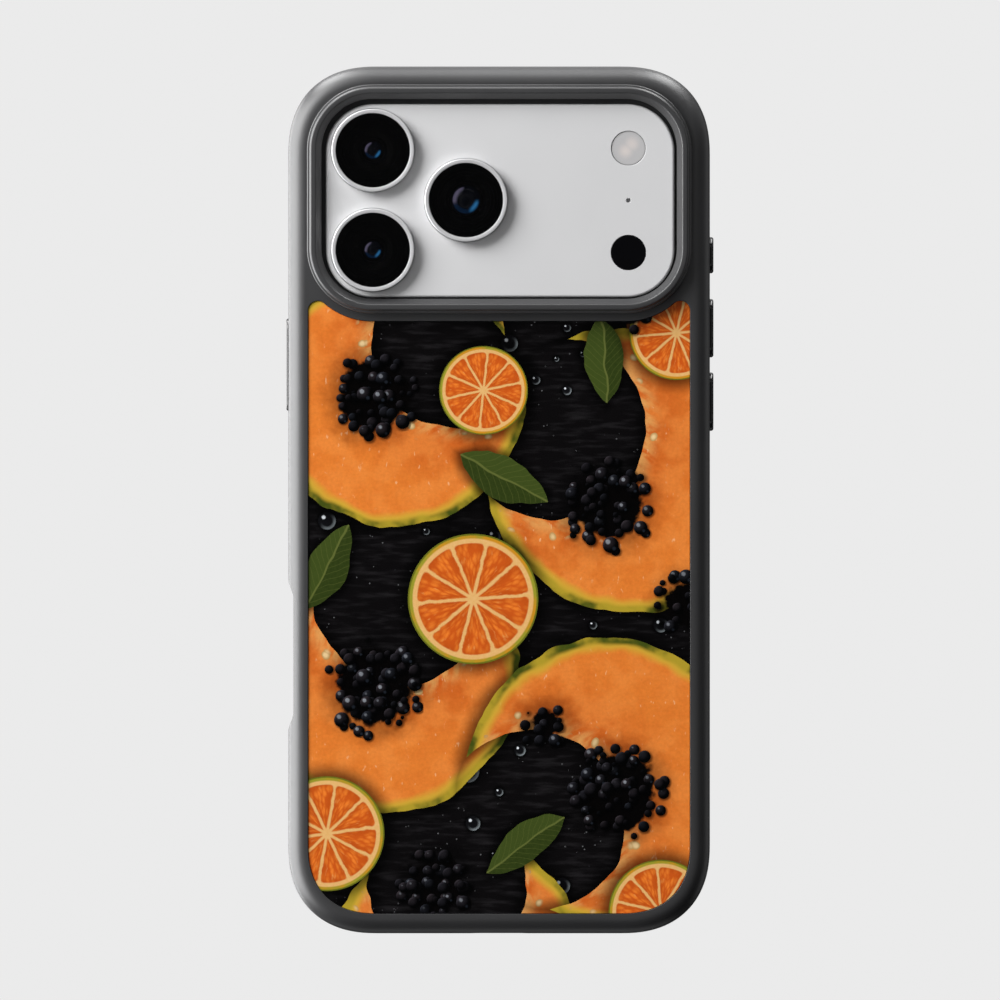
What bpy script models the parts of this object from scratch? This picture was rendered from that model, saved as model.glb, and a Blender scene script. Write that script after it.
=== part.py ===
"""A large phone in a printed protective sleeve, lying on its screen with its back up.

+X is right and +Y is up as the back is seen, +Z points out of the back. The origin is at the
middle of the sleeve's outline, on the surface that the sleeve's front lip rests on.
"""

import math

import bmesh
import bpy
from mathutils import Vector

MM = 0.001

# The bare phone, and how square its corners are: a circle has 2, and more is squarer.
PHONE_WIDTH = 78.0 * MM
PHONE_HEIGHT = 163.4 * MM
PHONE_THICKNESS = 8.75 * MM
PHONE_CORNER = 15.6 * MM
SQUARENESS = 2.35

# The sleeve round it.
WALL = 1.42 * MM
CLEARANCE = 0.15 * MM
LIP_HEIGHT = 1.0 * MM
LIP_REACH = 2.3 * MM
LIP_ROUND = 1.2 * MM
SLEEVE_BACK = 1.75 * MM
SHOULDER_ROUND = 3.3 * MM
SLEEVE_CORNER = PHONE_CORNER + WALL

# Heights above the rest surface.
PHONE_BACK_Z = LIP_HEIGHT + PHONE_THICKNESS
MIDDLE_Z = LIP_HEIGHT + PHONE_THICKNESS / 2
SLEEVE_BACK_Z = PHONE_BACK_Z + SLEEVE_BACK
PLATEAU_Z = PHONE_BACK_Z + 2.4 * MM
LENS_TOP_Z = PHONE_BACK_Z + 4.15 * MM
CAMERA_RING_Z = PHONE_BACK_Z + 4.65 * MM

# The raised ring round the camera plateau. Its corners are round arcs.
CAMERA_Y = 57.7 * MM
RING_WIDTH = 73.9 * MM
RING_HEIGHT = 44.1 * MM
RING_CORNER = 12.6 * MM
RING_BEVEL = 1.0 * MM
RING_TOP = 0.75 * MM
RING_SLOPE = 1.15 * MM
RING_SLOPE_DEPTH = 1.7 * MM
RING_BAND = RING_BEVEL + RING_TOP + RING_SLOPE

# The camera plateau of the phone, inside the ring's window.
PLATEAU_GAP = 0.65 * MM
PLATEAU_ROUND = 0.7 * MM

# Lenses: place, and the half width of the opening that shows its front element.
LENSES = {
    "upper": ((-24.2 * MM, 67.0 * MM), 1.9 * MM),
    "middle": ((-6.35 * MM, 57.45 * MM), 3.0 * MM),
    "lower": ((-24.2 * MM, 47.9 * MM), 1.9 * MM),
}
LENS_RADIUS = 8.1 * MM
COVER_RADIUS = 7.05 * MM
COVER_THICKNESS = 0.5 * MM
BARREL_RADIUS = 6.4 * MM
BARREL_FLOOR_Z = PLATEAU_Z - 1.7 * MM

# What lies to the right of the lenses.
SMALL_COLUMN_X = 24.8 * MM
FLASH_Y = 67.4 * MM
MICROPHONE_Y = 57.4 * MM
SENSOR_Y = 47.4 * MM
WINDOW_RADIUS = 3.4 * MM
WINDOW_DEPTH = 0.9 * MM
MICROPHONE_RADIUS = 0.52 * MM

# The printed plate set in the back.
PLATE_BORDER = 3.75 * MM
PLATE_SINK = 0.25 * MM
PLATE_THICKNESS = 0.7 * MM
PLATE_TO_RING = 1.35 * MM
HORN_ROUND = 1.9 * MM

# Button covers: middle along Y, length, how far they stand out of the wall, side.
COVER_HEIGHT = 4.2 * MM
COVER_ROUND = 0.45 * MM
COVER_TRAVEL = 0.35 * MM
BUTTON_COVERS = {
    "action_cover": (46.95 * MM, 6.95 * MM, 0.7 * MM, 1),
    "volume_up_cover": (32.95 * MM, 11.2 * MM, 0.7 * MM, 1),
    "volume_down_cover": (18.85 * MM, 11.2 * MM, 0.7 * MM, 1),
    "side_cover": (25.95 * MM, 17.7 * MM, 0.42 * MM, -1),
}

# The scoop in the left wall that leaves the phone's capture key free.
SCOOP_Y = -29.8 * MM
SCOOP_LENGTH = 29.0 * MM
SCOOP_RAMP = 3.5 * MM
SCOOP_DEPTH = 0.95 * MM
KEY_WINDOW_LENGTH = 20.6 * MM
KEY_WINDOW_HEIGHT = 5.4 * MM
KEY_LENGTH = 17.6 * MM
KEY_HEIGHT = 3.4 * MM
KEY_DEPTH = 0.7 * MM
KEY_TRAVEL = 0.2 * MM

# The bottom edge: socket, speaker slots in the sleeve, holes and screws in the phone.
SOCKET_WIDTH = 8.9 * MM
SOCKET_HEIGHT = 3.1 * MM
SOCKET_DEPTH = 6.4 * MM
TONGUE_WIDTH = 6.7 * MM
TONGUE_THICKNESS = 0.7 * MM
TONGUE_LENGTH = 4.8 * MM
SOCKET_OPENING_WIDTH = 14.0 * MM
SOCKET_OPENING_HEIGHT = 6.6 * MM
SPEAKER_X = 20.6 * MM
SPEAKER_HOLES = 5
SPEAKER_PITCH = 2.75 * MM
SPEAKER_HOLE_RADIUS = 0.8 * MM
SPEAKER_HOLE_DEPTH = 1.2 * MM
SPEAKER_SLOT_LENGTH = 15.6 * MM
SPEAKER_SLOT_HEIGHT = 3.4 * MM
SCREW_X = 9.4 * MM
SCREW_RADIUS = 0.75 * MM

# The front glass, let into the frame, with a listening slot at its top edge.
FRAME_RIM = 1.4 * MM
GLASS_THICKNESS = 0.85 * MM
EARPIECE_LENGTH = 10.5 * MM
EARPIECE_WIDTH = 0.7 * MM
EARPIECE_FROM_EDGE = 1.1 * MM

CORNER_STEPS = 10
ROUND_STEPS = 5


def finish(name, colour, roughness, metallic=0.0):
    """A plain material for one sort of surface."""
    material = bpy.data.materials.new(name)
    material.use_nodes = True
    shader = material.node_tree.nodes["Principled BSDF"]
    shader.inputs["Base Color"].default_value = (*colour, 1.0)
    shader.inputs["Roughness"].default_value = roughness
    shader.inputs["Metallic"].default_value = metallic
    material.diffuse_color = (*colour, 1.0)
    return material


def square_corner(radius, steps=CORNER_STEPS):
    """A quarter of a squared circle, from +X to +Y, about its own middle."""
    power = 2 / SQUARENESS
    angles = [math.pi / 2 * i / steps for i in range(steps + 1)]
    return [
        (radius * max(0.0, math.cos(a)) ** power, radius * max(0.0, math.sin(a)) ** power)
        for a in angles
    ]


def round_corner(radius, steps=CORNER_STEPS):
    """A quarter circle, from +X to +Y, about its own middle."""
    angles = [math.pi / 2 * i / steps for i in range(steps + 1)]
    return [(radius * math.cos(a), radius * math.sin(a)) for a in angles]


def outline(half_x, half_y, corner):
    """A rectangle with these corners, anticlockwise. corner is a quarter from +X to +Y."""
    reach_x = half_x - corner[0][0]
    reach_y = half_y - corner[-1][1]
    first = [(reach_x + x, reach_y + y) for x, y in corner]
    second = [(-x, y) for x, y in reversed(first)]
    return first + second + [(-x, -y) for x, y in first] + [(-x, -y) for x, y in second]


def phone_outline(inset=0.0):
    """The phone's outline, drawn in by inset."""
    corner = square_corner(PHONE_CORNER - inset)
    return outline(PHONE_WIDTH / 2 - inset, PHONE_HEIGHT / 2 - inset, corner)


def sleeve_outline(inset=0.0):
    """The sleeve's outline, drawn in by inset."""
    corner = square_corner(SLEEVE_CORNER - inset)
    return outline(PHONE_WIDTH / 2 + WALL - inset, PHONE_HEIGHT / 2 + WALL - inset, corner)


def ring_outline(inset=0.0):
    """The camera ring's outline, drawn in by inset."""
    corner = round_corner(RING_CORNER - inset)
    loop = outline(RING_WIDTH / 2 - inset, RING_HEIGHT / 2 - inset, corner)
    return [(x, y + CAMERA_Y) for x, y in loop]


def circle(radius, segments):
    angles = [2 * math.pi * i / segments for i in range(segments)]
    return [(radius * math.cos(a), radius * math.sin(a)) for a in angles]


def stadium(length, width, steps=ROUND_STEPS):
    """A slot's outline, long along the first axis."""
    return outline(length / 2, width / 2, round_corner(width / 2, steps))


def arc(centre, radius, start, end, steps):
    """Points along an arc, angles in degrees, both ends in."""
    angles = [math.radians(start + (end - start) * i / steps) for i in range(steps + 1)]
    return [
        (centre[0] + radius * math.cos(a), centre[1] + radius * math.sin(a)) for a in angles
    ]


def plate_outline(inset=0.0):
    """The printed plate: squared corners below, and above two horns beside the camera ring."""
    half_x = PHONE_WIDTH / 2 + WALL - PLATE_BORDER - inset
    bottom = -PHONE_HEIGHT / 2 - WALL + PLATE_BORDER + inset
    corner = square_corner(SLEEVE_CORNER - PLATE_BORDER - inset)
    reach = SLEEVE_CORNER - PLATE_BORDER - inset
    lower = [(half_x - reach + x, bottom + reach - y) for x, y in reversed(corner)]

    ring_x = RING_WIDTH / 2 - RING_CORNER
    ring_y = CAMERA_Y - RING_HEIGHT / 2 + RING_CORNER
    hollow = RING_CORNER + PLATE_TO_RING + inset
    horn = HORN_ROUND - inset
    horn_x = half_x - horn
    drop = math.sqrt((hollow + horn) ** 2 - (horn_x - ring_x) ** 2)
    horn_y = ring_y - drop
    touch = math.degrees(math.atan2(drop, horn_x - ring_x))
    tip = arc((horn_x, horn_y), horn, 0, 180 - touch, ROUND_STEPS)
    beside_ring = arc((ring_x, ring_y), hollow, -touch, -90, ROUND_STEPS)
    right = lower + tip + beside_ring[1:]
    return right + [(-x, y) for x, y in reversed(right)]


def flat(u, v, w):
    """Outline in X and Y, height in Z."""
    return Vector((u, v, w))


def sideways(u, v, w):
    """Outline in Y and Z, height in X."""
    return Vector((w, u, v))


def lengthways(u, v, w):
    """Outline in X and Z, height in Y."""
    return Vector((u, w, v))


def loft(name, layers, material=None, place=flat, closed=False, at=(0.0, 0.0, 0.0)):
    """A solid through outlines of as many points. layers is (outline, height) in order.

    Closed joins the last layer to the first, as round a ring. Otherwise both ends are capped.
    """
    mesh = bmesh.new()
    loops = [[mesh.verts.new(place(u, v, height)) for u, v in shape] for shape, height in layers]
    pairs = list(zip(loops, loops[1:])) + ([(loops[-1], loops[0])] if closed else [])
    for near, far in pairs:
        for i in range(len(near)):
            j = (i + 1) % len(near)
            mesh.faces.new((near[i], near[j], far[j], far[i]))
    if not closed:
        mesh.faces.new(loops[0])
        mesh.faces.new(loops[-1])
    bmesh.ops.recalc_face_normals(mesh, faces=mesh.faces)
    data = bpy.data.meshes.new(name)
    mesh.to_mesh(data)
    mesh.free()
    if material:
        data.materials.append(material)
    data.shade_smooth()
    data.set_sharp_from_angle(angle=math.radians(30))
    piece = bpy.data.objects.new(name, data)
    piece.location = at
    bpy.context.scene.collection.objects.link(piece)
    return piece


def turned(name, profile, centre, segments, material, closed=False):
    """A round piece about an upright axis. profile is (radius, height) points."""
    layers = [(circle(radius, segments), height) for radius, height in profile]
    return loft(name, layers, material, closed=closed, at=(*centre, 0.0))


def combine(target, tool, operation):
    """Adds or takes away tool, which stays in the file as a guide."""
    tool.hide_render = True
    tool.display_type = "WIRE"
    step = target.modifiers.new(tool.name, "BOOLEAN")
    step.operation = operation
    step.solver = "EXACT"
    step.object = tool


def cut(target, tool):
    combine(target, tool, "DIFFERENCE")


def rounded_end(loop, far, near, radius, steps):
    """Layers that round the last radius of a prism, from near to far. loop takes an inset."""
    turn = 1 if far > near else -1
    layers = []
    for i in range(steps + 1):
        a = math.pi / 2 * i / steps
        inset = radius * (1 - math.cos(a))
        layers.append((loop(inset), far - turn * radius * (1 - math.sin(a))))
    return layers


def make_sleeve(material):
    """The soft tray: front lip, side wall, rounded shoulder, back, and the camera ring."""
    wall_top = SLEEVE_BACK_Z - SHOULDER_ROUND
    inner = WALL - CLEARANCE
    layers = [
        (sleeve_outline(inner), PHONE_BACK_Z + CLEARANCE),
        (sleeve_outline(inner), LIP_HEIGHT - 0.05 * MM),
        (sleeve_outline(LIP_REACH), LIP_HEIGHT - 0.05 * MM),
        (sleeve_outline(LIP_REACH), 0.2 * MM),
        (sleeve_outline(LIP_REACH - 0.2 * MM), 0.0),
    ]
    for i in range(5):
        a = math.pi / 2 * i / 4
        inset = LIP_ROUND * (1 - math.sin(a))
        layers.append((sleeve_outline(inset), LIP_ROUND * (1 - math.cos(a))))
    layers += rounded_end(sleeve_outline, SLEEVE_BACK_Z, wall_top, SHOULDER_ROUND, 6)
    sleeve = loft("sleeve", layers, material)

    top = CAMERA_RING_Z
    ring_layers = [
        (ring_outline(), SLEEVE_BACK_Z - 1.2 * MM),
        (ring_outline(), SLEEVE_BACK_Z + 0.4 * MM),
        (ring_outline(0.18 * MM), top - RING_BEVEL),
        (ring_outline(0.30 * MM), top - 0.86 * RING_BEVEL),
        (ring_outline(0.42 * MM), top - 0.50 * RING_BEVEL),
        (ring_outline(0.68 * MM), top - 0.16 * RING_BEVEL),
        (ring_outline(RING_BEVEL), top),
        (ring_outline(RING_BEVEL + RING_TOP), top),
        (ring_outline(RING_BAND), top - RING_SLOPE_DEPTH),
        (ring_outline(RING_BAND + 0.4 * MM), top - RING_SLOPE_DEPTH - 0.6 * MM),
        (ring_outline(RING_BAND + 0.4 * MM), SLEEVE_BACK_Z - 1.2 * MM),
    ]
    combine(sleeve, loft("ring_guide", ring_layers, closed=True), "UNION")
    below, above = PHONE_BACK_Z - 1.0 * MM, CAMERA_RING_Z + 1.0 * MM
    window = [(ring_outline(RING_BAND), below), (ring_outline(RING_BAND), above)]
    cut(sleeve, loft("window_cutter", window))

    floor = SLEEVE_BACK_Z - PLATE_SINK - PLATE_THICKNESS - CLEARANCE
    recess = [
        (plate_outline(), floor),
        (plate_outline(), SLEEVE_BACK_Z - PLATE_SINK),
        (plate_outline(-0.1 * MM), SLEEVE_BACK_Z + 0.02 * MM),
    ]
    cut(sleeve, loft("recess_cutter", recess))
    cut_sleeve_sides(sleeve)
    cut_sleeve_bottom(sleeve)
    return sleeve


def scoop_outline(depth, outside):
    """The scoop's outline in the left wall, with a smooth ramp at each end."""
    wall = -PHONE_WIDTH / 2 - WALL
    half = SCOOP_LENGTH / 2
    ramp = []
    for i in range(ROUND_STEPS + 1):
        t = i / ROUND_STEPS
        ramp.append((wall + depth * t * t * (3 - 2 * t), -half + SCOOP_RAMP * t))
    inner = ramp + [(x, -y) for x, y in reversed(ramp)]
    shape = [(outside, -half)] + inner + [(outside, half)]
    return [(x, y + SCOOP_Y) for x, y in shape]


def cut_sleeve_sides(sleeve):
    """The slots of the button covers, and the scoop and window of the capture key."""
    inner, outer = PHONE_WIDTH / 2 - 1.0 * MM, PHONE_WIDTH / 2 + WALL + 1.0 * MM
    for name, (y, length, _, side) in BUTTON_COVERS.items():
        slot = stadium(length + 2 * CLEARANCE, COVER_HEIGHT + 2 * CLEARANCE)
        layers = [(slot, side * inner), (slot, side * outer)]
        cut(sleeve, loft(name + "_slot", layers, place=sideways, at=(0, y, MIDDLE_Z)))
    scoop = scoop_outline(SCOOP_DEPTH, -outer)
    cut(sleeve, loft("scoop_cutter", [(scoop, -1.0 * MM), (scoop, SLEEVE_BACK_Z + 1.0 * MM)]))
    window = stadium(KEY_WINDOW_LENGTH, KEY_WINDOW_HEIGHT)
    layers = [(window, -inner), (window, -outer)]
    cut(sleeve, loft("key_window", layers, place=sideways, at=(0, SCOOP_Y, MIDDLE_Z)))


def cut_sleeve_bottom(sleeve):
    """The socket's opening and the two speaker slots in the bottom wall."""
    inner, outer = -PHONE_HEIGHT / 2 + 1.0 * MM, -PHONE_HEIGHT / 2 - WALL - 1.0 * MM
    openings = {
        "socket_opening": (0.0, stadium(SOCKET_OPENING_WIDTH, SOCKET_OPENING_HEIGHT)),
        "left_speaker_slot": (-SPEAKER_X, stadium(SPEAKER_SLOT_LENGTH, SPEAKER_SLOT_HEIGHT)),
        "right_speaker_slot": (SPEAKER_X, stadium(SPEAKER_SLOT_LENGTH, SPEAKER_SLOT_HEIGHT)),
    }
    for name, (x, shape) in openings.items():
        layers = [(shape, outer), (shape, inner)]
        cut(sleeve, loft(name, layers, place=lengthways, at=(x, 0, MIDDLE_Z)))


def make_plate(material):
    """The hard printed plate, lying in its recess with a small rounded edge."""
    top = SLEEVE_BACK_Z - PLATE_SINK
    base = top - PLATE_THICKNESS
    layers = [(plate_outline(CLEARANCE), base)]
    layers += rounded_end(lambda inset: plate_outline(CLEARANCE + inset), top, base, 0.2 * MM, 2)
    return loft("printed_plate", layers, material)


def make_phone(metal):
    """The phone's frame and back in one piece, with the camera plateau."""
    rim_z = LIP_HEIGHT + 0.1 * MM
    front_round, back_round = 0.9 * MM, 2.1 * MM
    layers = [
        (phone_outline(FRAME_RIM), LIP_HEIGHT + GLASS_THICKNESS + CLEARANCE),
        (phone_outline(FRAME_RIM), rim_z),
    ]
    for i in range(4):
        a = math.pi / 2 * i / 3
        layers.append(
            (phone_outline(front_round * (1 - math.sin(a))), rim_z + front_round * (1 - math.cos(a)))
        )
    layers += rounded_end(phone_outline, PHONE_BACK_Z, PHONE_BACK_Z - back_round, back_round, 4)
    phone = loft("phone_body", layers, metal)

    edge = RING_BAND + PLATEAU_GAP
    plateau = [(ring_outline(edge), PHONE_BACK_Z - 1.0 * MM)]
    plateau += rounded_end(
        lambda inset: ring_outline(edge + inset), PLATEAU_Z, PHONE_BACK_Z, PLATEAU_ROUND, 3
    )
    combine(phone, loft("plateau_guide", plateau), "UNION")
    cut_phone_back(phone)
    cut_phone_edges(phone)
    return phone


def cut_phone_back(phone):
    """The round pockets of the camera plateau."""
    pockets = {
        "flash_pocket": ((SMALL_COLUMN_X, FLASH_Y), WINDOW_RADIUS + CLEARANCE, WINDOW_DEPTH, 24),
        "sensor_pocket": ((SMALL_COLUMN_X, SENSOR_Y), WINDOW_RADIUS + CLEARANCE, WINDOW_DEPTH, 24),
        "microphone_hole": ((SMALL_COLUMN_X, MICROPHONE_Y), MICROPHONE_RADIUS, 1.4 * MM, 12),
    }
    for place, (centre, _) in LENSES.items():
        depth = PLATEAU_Z - BARREL_FLOOR_Z + CLEARANCE
        pockets[place + "_lens_pocket"] = (centre, BARREL_RADIUS + CLEARANCE, depth, 32)
    for name, (centre, radius, depth, segments) in pockets.items():
        profile = [(radius, PLATEAU_Z - depth), (radius, PLATEAU_Z + 1.0 * MM)]
        cut(phone, turned(name, profile, centre, segments, None))


def cut_phone_edges(phone):
    """The socket, speaker holes and screw seats below, and the capture key's seat."""
    bottom, outside = -PHONE_HEIGHT / 2, -PHONE_HEIGHT / 2 - 1.0 * MM
    socket = stadium(SOCKET_WIDTH, SOCKET_HEIGHT)
    layers = [(socket, outside), (socket, bottom + SOCKET_DEPTH)]
    cut(phone, loft("socket_cutter", layers, place=lengthways, at=(0, 0, MIDDLE_Z)))

    hole = circle(SPEAKER_HOLE_RADIUS, 12)
    layers = [(hole, outside), (hole, bottom + SPEAKER_HOLE_DEPTH)]
    middle = (SPEAKER_HOLES - 1) / 2
    for side in (-1, 1):
        for i in range(SPEAKER_HOLES):
            x = side * SPEAKER_X + (i - middle) * SPEAKER_PITCH
            name = f"speaker_hole_{'left' if side < 0 else 'right'}_{i + 1}"
            cut(phone, loft(name, layers, place=lengthways, at=(x, 0, MIDDLE_Z)))

    seat = circle(SCREW_RADIUS + CLEARANCE, 16)
    layers = [(seat, outside), (seat, bottom + 0.6 * MM)]
    for side, word in ((-1, "left"), (1, "right")):
        at = (side * SCREW_X, 0, MIDDLE_Z)
        cut(phone, loft(word + "_screw_seat", layers, place=lengthways, at=at))

    key = stadium(KEY_LENGTH + 2 * CLEARANCE, KEY_HEIGHT + 2 * CLEARANCE)
    wall = -PHONE_WIDTH / 2
    depth = KEY_DEPTH + KEY_TRAVEL + CLEARANCE
    layers = [(key, wall - 1.0 * MM), (key, wall + depth)]
    cut(phone, loft("key_seat", layers, place=sideways, at=(0, SCOOP_Y, MIDDLE_Z)))


def make_glass(material):
    """The front glass, face down, with the listening slot by its top edge."""
    inset = FRAME_RIM + CLEARANCE
    back = LIP_HEIGHT + GLASS_THICKNESS
    layers = [(phone_outline(inset), back)]
    layers += rounded_end(lambda more: phone_outline(inset + more), LIP_HEIGHT, back, 0.35 * MM, 3)
    glass = loft("front_glass", layers, material)
    slot = stadium(EARPIECE_LENGTH, EARPIECE_WIDTH, 4)
    y = PHONE_HEIGHT / 2 - inset - EARPIECE_FROM_EDGE
    layers = [(slot, LIP_HEIGHT - 1.0 * MM), (slot, LIP_HEIGHT + 0.4 * MM)]
    cut(glass, loft("earpiece_cutter", layers, at=(0, y, 0)))
    return glass


def make_lens(place, centre, opening, metal, clear, black):
    """One camera: metal ring, clear cover, black barrel that narrows, and its front element."""
    base, top = PLATEAU_Z + 0.1 * MM, LENS_TOP_Z
    seat = COVER_RADIUS + 0.1 * MM
    shelf = top - COVER_THICKNESS - 0.25 * MM
    ring = [
        (BARREL_RADIUS + CLEARANCE, base),
        (LENS_RADIUS, base),
        (LENS_RADIUS, top - 0.55 * MM),
        (LENS_RADIUS - 0.12 * MM, top - 0.18 * MM),
        (LENS_RADIUS - 0.38 * MM, top),
        (seat + 0.1 * MM, top),
        (seat, top - 0.1 * MM),
        (seat, shelf),
        (BARREL_RADIUS + CLEARANCE, shelf),
    ]
    pieces = [turned(place + "_lens_ring", ring, centre, 32, metal, closed=True)]

    cover_top = top - 0.12 * MM
    cover = [
        (COVER_RADIUS, cover_top - COVER_THICKNESS),
        (COVER_RADIUS, cover_top - 0.1 * MM),
        (COVER_RADIUS - 0.1 * MM, cover_top),
    ]
    pieces.append(turned(place + "_lens_cover", cover, centre, 32, clear))

    rim = shelf - 0.1 * MM
    throat = PLATEAU_Z - 0.9 * MM
    barrel = [
        (BARREL_RADIUS, BARREL_FLOOR_Z),
        (BARREL_RADIUS, rim),
        (opening + 1.9 * MM, rim),
        (opening + 1.5 * MM, rim - 0.6 * MM),
        (opening + 0.7 * MM, rim - 0.8 * MM),
        (opening + 0.2 * MM, throat),
        (opening, throat - 0.1 * MM),
        (opening, BARREL_FLOOR_Z + 0.4 * MM),
    ]
    pieces.append(turned(place + "_lens_barrel", barrel, centre, 28, black))

    foot = BARREL_FLOOR_Z + 0.5 * MM
    bulge = 0.55 * (opening - CLEARANCE)
    element = [(opening - CLEARANCE, foot)]
    for i in range(1, 5):
        a = math.pi / 2 * i / 5
        element.append(((opening - CLEARANCE) * math.cos(a), foot + bulge * math.sin(a)))
    pieces.append(turned(place + "_lens_element", element, centre, 20, clear))
    return pieces


def make_window(name, y, material):
    """A round window let into the plateau, almost flush."""
    top = PLATEAU_Z - 0.05 * MM
    base = PLATEAU_Z - WINDOW_DEPTH + CLEARANCE
    profile = [
        (WINDOW_RADIUS, base),
        (WINDOW_RADIUS, top - 0.1 * MM),
        (WINDOW_RADIUS - 0.1 * MM, top),
    ]
    return turned(name, profile, (SMALL_COLUMN_X, y), 24, material)


def make_button_cover(name, y, length, stand, side, material):
    """A pill-shaped cover in its slot. Its travel ends just short of the phone's side."""
    inner = PHONE_WIDTH / 2 + COVER_TRAVEL + CLEARANCE
    outer = PHONE_WIDTH / 2 + WALL + stand
    middle = (inner + outer) / 2
    half = (outer - inner) / 2

    def loop(inset):
        return stadium(length - 2 * inset, COVER_HEIGHT - 2 * inset)

    layers = [(loop(0.0), -side * half)]
    layers += rounded_end(loop, side * half, -side * half, COVER_ROUND, 3)
    at = (side * middle, y, MIDDLE_Z)
    return loft(name, layers, material, place=sideways, at=at)


def make_capture_key(material):
    """The flush key in the phone's left side."""
    wall = PHONE_WIDTH / 2
    at = (-wall + KEY_DEPTH / 2, SCOOP_Y, MIDDLE_Z)

    def loop(inset):
        return stadium(KEY_LENGTH - 2 * inset, KEY_HEIGHT - 2 * inset)

    layers = [(loop(0.0), KEY_DEPTH / 2)]
    layers += rounded_end(loop, -KEY_DEPTH / 2, KEY_DEPTH / 2, 0.15 * MM, 2)
    return loft("capture_key", layers, material, place=sideways, at=at)


def make_bottom_fittings(metal, black):
    """The tongue in the socket and the two screws beside it."""
    end = -PHONE_HEIGHT / 2 + SOCKET_DEPTH - 0.1 * MM
    tongue = stadium(TONGUE_WIDTH, TONGUE_THICKNESS, 2)
    layers = [(tongue, end - TONGUE_LENGTH), (tongue, end)]
    pieces = [loft("socket_tongue", layers, black, place=lengthways, at=(0, 0, MIDDLE_Z))]
    bottom = -PHONE_HEIGHT / 2
    for side, word in ((-1, "left"), (1, "right")):
        layers = [
            (circle(SCREW_RADIUS - 0.1 * MM, 16), bottom + 0.1 * MM),
            (circle(SCREW_RADIUS, 16), bottom + 0.2 * MM),
            (circle(SCREW_RADIUS, 16), bottom + 0.5 * MM),
        ]
        at = (side * SCREW_X, 0, MIDDLE_Z)
        pieces.append(loft(word + "_screw", layers, metal, place=lengthways, at=at))
    return pieces


def main():
    for old in list(bpy.data.objects):
        bpy.data.objects.remove(old)

    soft_black = finish("soft black", (0.022, 0.022, 0.023), 0.42)
    print_ink = finish("printed plate", (0.72, 0.25, 0.05), 0.4)
    silver = finish("satin silver", (0.70, 0.70, 0.70), 0.3, 1.0)
    bright_silver = finish("polished silver", (0.74, 0.74, 0.74), 0.12, 1.0)
    glass_black = finish("black glass", (0.006, 0.006, 0.008), 0.06)
    lens_clear = finish("lens glass", (0.02, 0.03, 0.06), 0.03)
    barrel_black = finish("barrel black", (0.008, 0.008, 0.008), 0.5)
    gloss_black = finish("gloss black", (0.012, 0.012, 0.012), 0.2)
    diffuser = finish("flash diffuser", (0.72, 0.68, 0.65), 0.35)

    handset = [
        make_sleeve(soft_black),
        make_plate(print_ink),
        make_phone(silver),
        make_glass(glass_black),
        make_window("flash_window", FLASH_Y, diffuser),
        make_window("depth_sensor_window", SENSOR_Y, glass_black),
    ]
    for place, (centre, opening) in LENSES.items():
        handset += make_lens(place, centre, opening, bright_silver, lens_clear, barrel_black)
    handset += make_bottom_fittings(silver, barrel_black)
    covers = [
        make_button_cover(name, *sizes, gloss_black) for name, sizes in BUTTON_COVERS.items()
    ]
    covers.append(make_capture_key(bright_silver))

    whole = bpy.data.objects.new("phone_in_sleeve", None)
    bpy.context.scene.collection.objects.link(whole)
    for piece in handset + covers:
        piece.parent = whole


main()
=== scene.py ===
"""The looks of the phone in its printed sleeve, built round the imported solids. Sizes are in mm."""

import math

import bmesh
import bpy
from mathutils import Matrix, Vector


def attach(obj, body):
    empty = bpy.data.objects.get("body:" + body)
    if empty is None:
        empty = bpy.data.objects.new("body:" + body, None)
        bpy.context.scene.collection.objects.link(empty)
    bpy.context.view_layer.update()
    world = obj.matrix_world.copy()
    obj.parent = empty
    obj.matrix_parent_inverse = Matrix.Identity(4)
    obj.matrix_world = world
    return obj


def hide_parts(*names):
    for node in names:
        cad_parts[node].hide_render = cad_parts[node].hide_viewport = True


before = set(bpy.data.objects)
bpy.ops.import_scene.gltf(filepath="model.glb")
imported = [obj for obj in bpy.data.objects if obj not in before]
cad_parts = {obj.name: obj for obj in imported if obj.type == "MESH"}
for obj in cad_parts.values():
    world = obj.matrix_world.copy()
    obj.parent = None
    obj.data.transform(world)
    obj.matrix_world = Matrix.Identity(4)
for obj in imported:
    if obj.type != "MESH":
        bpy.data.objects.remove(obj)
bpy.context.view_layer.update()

# Sizes, as in the solids. Heights are above the surface that the front lip rests on.

# The phone, as half its width and length, and the sleeve round it
PHONE_X, PHONE_Y = 39.0, 81.7
PHONE_CORNER = 15.6
SQUARENESS = 2.35
WALL, GAP, SEAM = 1.42, 0.15, 0.04
LIP_Z, LIP_REACH, LIP_ROUND = 1.0, 2.3, 1.2
PHONE_BACK_Z = 9.75
MIDDLE_Z = 5.375
SLEEVE_BACK_Z = 11.5
SHOULDER = 3.3

# The raised ring, the plateau inside it, and the black flange low in the gap between them, which
# paints the gap's shade
PLATEAU_Z = 12.15
LENS_TOP_Z = 13.9
RING_TOP_Z = 14.4
RING_Y, RING_HALF_X, RING_HALF_Y, RING_CORNER = 57.7, 36.95, 22.05, 12.6
RING_BAND, PLATEAU_EDGE, PLATEAU_SHIFT = 2.9, 3.55, (0.2, -0.35)
FLANGE_Z, FLANGE_GAP = 10.35, 0.06

# The printed plate, with a horn beside the ring on each side
PLATE_BORDER, PLATE_TOP_Z, PLATE_BASE_Z = 3.75, 11.25, 10.55
PLATE_TO_RING, HORN_ROUND = 1.35, 1.9

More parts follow.
